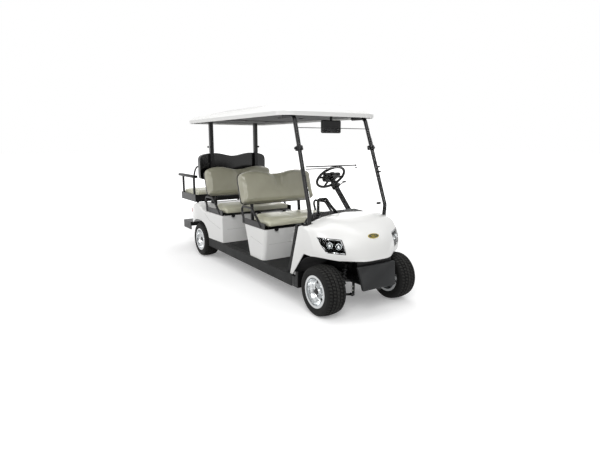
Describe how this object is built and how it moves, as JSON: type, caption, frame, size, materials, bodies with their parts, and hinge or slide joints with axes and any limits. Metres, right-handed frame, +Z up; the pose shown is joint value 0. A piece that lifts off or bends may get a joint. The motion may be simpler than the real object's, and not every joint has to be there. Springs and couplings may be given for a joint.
{
  "type": "electric golf cart",
  "caption": "Electric golf cart with two forward-facing seat rows, one rear-facing seat, a canopy on struts, a clear windshield and alloy wheels that roll and steer.",
  "frame": {"origin": "on the floor below the middle of the cart's length and width", "axes": "+X forward, +Y to the cart's left, +Z up"},
  "size_m": [3.7593, 1.132, 1.8452],
  "materials": {
    "body_white": "glossy moulded body panels",
    "floor_grey": "grained dark floor moulding",
    "bumper_grey": "grained bumper",
    "dash_black": "satin dash moulding",
    "shell_black": "gloss black seat shells",
    "seat_vinyl": "beige-grey seat vinyl",
    "frame_black": "black powder coat",
    "strut_black": "satin black struts",
    "liner_grey": "dark headliner",
    "lamp_clear": "headlamp with clear lens",
    "lamp_red": "red tail lamp",
    "clear_glass": "clear windshield",
    "battery_case": "battery case",
    "axle_steel": "painted axle steel",
    "grip_black": "soft black grip",
    "rim_alloy": "polished alloy",
    "tyre_rubber": "tyre rubber"
  },
  "bodies": {
    "chassis": {"chassis_frame": "frame_black", "floor_pan": "floor_grey", "front_cowl": "body_white", "dashboard": "dash_black", "inner_fenders": "dash_black", "front_bumper": "bumper_grey", "headlamps": "lamp_clear", "seat_box_front": "body_white", "rear_body": "body_white", "tail_lamps": "lamp_red", "battery_pack": "battery_case", "front_suspension": "frame_black", "rear_axle": "axle_steel", "drive_motor": "axle_steel", "seat_frame_rear": "frame_black", "footrest": "frame_black", "roof_shell": "body_white", "roof_liner": "liner_grey", "front_struts": "strut_black", "rear_struts": "strut_black", "windshield": "clear_glass", "mirror": "dash_black", "steering_column": "dash_black", "pedals": "grip_black", "grab_handle": "grip_black", "backrest_front": "seat_vinyl", "backrest_shell_front": "shell_black", "seat_frame_front": "frame_black", "backrest_middle": "seat_vinyl", "backrest_shell_middle": "shell_black", "seat_frame_middle": "frame_black", "backrest_rear": "seat_vinyl", "backrest_shell_rear": "shell_black", "seat_cushion_rear": "seat_vinyl"},
    "knuckle_left": {"knuckle_left": "axle_steel"},
    "knuckle_right": {"knuckle_right": "axle_steel"},
    "steering": {"steering_wheel": "grip_black"},
    "tie_rod": {"tie_rod": "axle_steel"},
    "seat_lid_front": {"seat_cushion_front": "seat_vinyl", "seat_pan_front": "shell_black"},
    "seat_lid_middle": {"seat_cushion_middle": "seat_vinyl", "seat_pan_middle": "shell_black"},
    "wheel_front_left": {"rim_front_left": "rim_alloy", "tyre_front_left": "tyre_rubber"},
    "wheel_front_right": {"rim_front_right": "rim_alloy", "tyre_front_right": "tyre_rubber"},
    "wheel_rear_left": {"rim_rear_left": "rim_alloy", "tyre_rear_left": "tyre_rubber"},
    "wheel_rear_right": {"rim_rear_right": "rim_alloy", "tyre_rear_right": "tyre_rubber"}
  },
  "joints": [
    {"name": "steer_left", "type": "hinge", "parent": "chassis", "child": "knuckle_left", "pos_m": [1.609, 0.285, 0.225], "axis": [0, 0, 1], "range_deg": [-30, 30]},
    {"name": "steer_right", "type": "hinge", "parent": "chassis", "child": "knuckle_right", "pos_m": [1.609, -0.285, 0.225], "axis": [0, 0, 1], "range_deg": [-30, 30]},
    {"name": "steering_turn", "type": "hinge", "parent": "chassis", "child": "steering", "pos_m": [0.819, 0.25, 1.1343], "axis": [-0.7071, 0, 0.7071], "range_deg": [-360, 360]},
    {"name": "tie_rod_slide", "type": "slide", "parent": "chassis", "child": "tie_rod", "axis": [0, 1, 0], "range_m": [-0.065, 0.065]},
    {"name": "front_left_spin", "type": "hinge", "parent": "knuckle_left", "child": "wheel_front_left", "pos_m": [1.609, 0.423, 0.225], "axis": [0, 1, 0], "continuous": true},
    {"name": "front_right_spin", "type": "hinge", "parent": "knuckle_right", "child": "wheel_front_right", "pos_m": [1.609, -0.423, 0.225], "axis": [0, 1, 0], "continuous": true},
    {"name": "rear_left_spin", "type": "hinge", "parent": "chassis", "child": "wheel_rear_left", "pos_m": [-0.991, 0.45, 0.225], "axis": [0, 1, 0], "continuous": true},
    {"name": "rear_right_spin", "type": "hinge", "parent": "chassis", "child": "wheel_rear_right", "pos_m": [-0.991, -0.45, 0.225], "axis": [0, 1, 0], "continuous": true},
    {"name": "seat_lid_front_lift", "type": "hinge", "parent": "chassis", "child": "seat_lid_front", "pos_m": [0.199, 0, 0.6196], "axis": [0, -1, 0], "range_deg": [0, 35]},
    {"name": "seat_lid_middle_lift", "type": "hinge", "parent": "chassis", "child": "seat_lid_middle", "pos_m": [-0.851, 0, 0.6196], "axis": [0, -1, 0], "range_deg": [0, 35]}
  ],
  "couplings": [
    {"joint": "steer_right", "follows": "steer_left", "ratio": 1},
    {"joint": "steering_turn", "follows": "steer_left", "ratio": 12},
    {"joint": "tie_rod_slide", "follows": "steer_left", "m_per_rad": -0.124}
  ]
}
